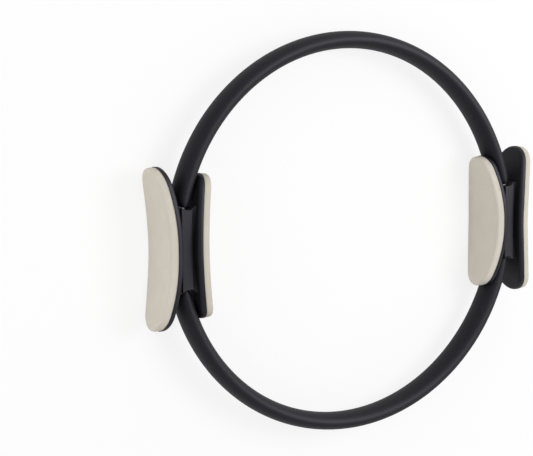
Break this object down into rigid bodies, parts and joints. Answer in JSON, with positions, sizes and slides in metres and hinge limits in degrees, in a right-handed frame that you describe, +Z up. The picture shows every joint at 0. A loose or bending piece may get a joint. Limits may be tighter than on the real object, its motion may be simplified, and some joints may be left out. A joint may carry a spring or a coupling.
{
  "type": "pilates ring",
  "caption": "Springy hoop in an oval foam cover, with a padded grip on each side that is pressed inwards or outwards against the hoop for resistance exercise.",
  "frame": {"origin": "centre of the hoop, which is the middle of the part's box", "axes": "+Z up along the hoop's axis with the ring lying flat, +X from the left grip to the right grip, +Y to the rear of the hoop"},
  "size_m": [0.399, 0.3656, 0.0506],
  "materials": {
    "pad_foam": "matt fine-celled foam",
    "grip_shell": "fine-grained moulded plastic",
    "hoop_cover": "matt foam sleeve",
    "spring_band": "pultruded glass fibre",
    "fastener_steel": "zinc plated"
  },
  "bodies": {
    "left_grip": {"left_outer_shell": "grip_shell", "left_inner_shell": "grip_shell", "left_outer_pad": "pad_foam", "left_inner_pad": "pad_foam", "left_screws": "fastener_steel", "left_pin": "fastener_steel", "left_grip_band": "spring_band", "left_grip_rear_cover": "hoop_cover", "left_grip_front_cover": "hoop_cover"},
    "right_grip": {"right_outer_shell": "grip_shell", "right_inner_shell": "grip_shell", "right_outer_pad": "pad_foam", "right_inner_pad": "pad_foam", "right_screws": "fastener_steel", "right_pin": "fastener_steel", "right_grip_band": "spring_band", "right_grip_rear_cover": "hoop_cover", "right_grip_front_cover": "hoop_cover"},
    "rear_left": {"rear_left_cover": "hoop_cover", "rear_left_band": "spring_band"},
    "rear_middle": {"rear_middle_cover": "hoop_cover", "rear_middle_band": "spring_band"},
    "rear_right": {"rear_right_cover": "hoop_cover", "rear_right_band": "spring_band"},
    "front_left": {"front_left_cover": "hoop_cover", "front_left_band": "spring_band"},
    "front_middle_left": {"front_middle_left_cover": "hoop_cover", "front_middle_left_band": "spring_band"},
    "front_middle_right": {"front_middle_right_cover": "hoop_cover", "front_middle_right_band": "spring_band"},
    "front_right": {"front_right_cover": "hoop_cover", "front_right_band": "spring_band"}
  },
  "joints": [
    {"name": "squeeze", "type": "hinge", "parent": "left_grip", "child": "rear_left", "pos_m": [-0.1586, 0.07396, 0], "axis": [0, 0, 1], "range_deg": [-6, 18], "stiffness_Nm_per_rad": 90},
    {"name": "rear_left_bend", "type": "hinge", "parent": "rear_left", "child": "rear_middle", "pos_m": [-0.04529, 0.16904, 0], "axis": [0, 0, 1], "range_deg": [-18, 6]},
    {"name": "rear_right_bend", "type": "hinge", "parent": "rear_middle", "child": "rear_right", "pos_m": [0.04529, 0.16904, 0], "axis": [0, 0, 1], "range_deg": [-18, 6]},
    {"name": "right_grip_rear_bend", "type": "hinge", "parent": "rear_right", "child": "right_grip", "pos_m": [0.1586, 0.07396, 0], "axis": [0, 0, 1], "range_deg": [-6, 18]},
    {"name": "left_grip_front_bend", "type": "hinge", "parent": "left_grip", "child": "front_left", "pos_m": [-0.1586, -0.07396, 0], "axis": [0, 0, 1], "range_deg": [-18, 6]},
    {"name": "front_left_bend", "type": "hinge", "parent": "front_left", "child": "front_middle_left", "pos_m": [-0.04529, -0.16904, 0], "axis": [0, 0, 1], "range_deg": [-6, 18]},
    {"name": "right_grip_front_bend", "type": "hinge", "parent": "right_grip", "child": "front_right", "pos_m": [0.1586, -0.07396, 0], "axis": [0, 0, 1], "range_deg": [-6, 18]},
    {"name": "front_right_bend", "type": "hinge", "parent": "front_right", "child": "front_middle_right", "pos_m": [0.04529, -0.16904, 0], "axis": [0, 0, 1], "range_deg": [-18, 6]}
  ],
  "couplings": [
    {"joint": "rear_left_bend", "follows": "squeeze", "ratio": -1},
    {"joint": "rear_right_bend", "follows": "squeeze", "ratio": -1},
    {"joint": "right_grip_rear_bend", "follows": "squeeze", "ratio": 1},
    {"joint": "left_grip_front_bend", "follows": "squeeze", "ratio": -1},
    {"joint": "front_left_bend", "follows": "squeeze", "ratio": 1},
    {"joint": "right_grip_front_bend", "follows": "squeeze", "ratio": 1},
    {"joint": "front_right_bend", "follows": "squeeze", "ratio": -1}
  ]
}
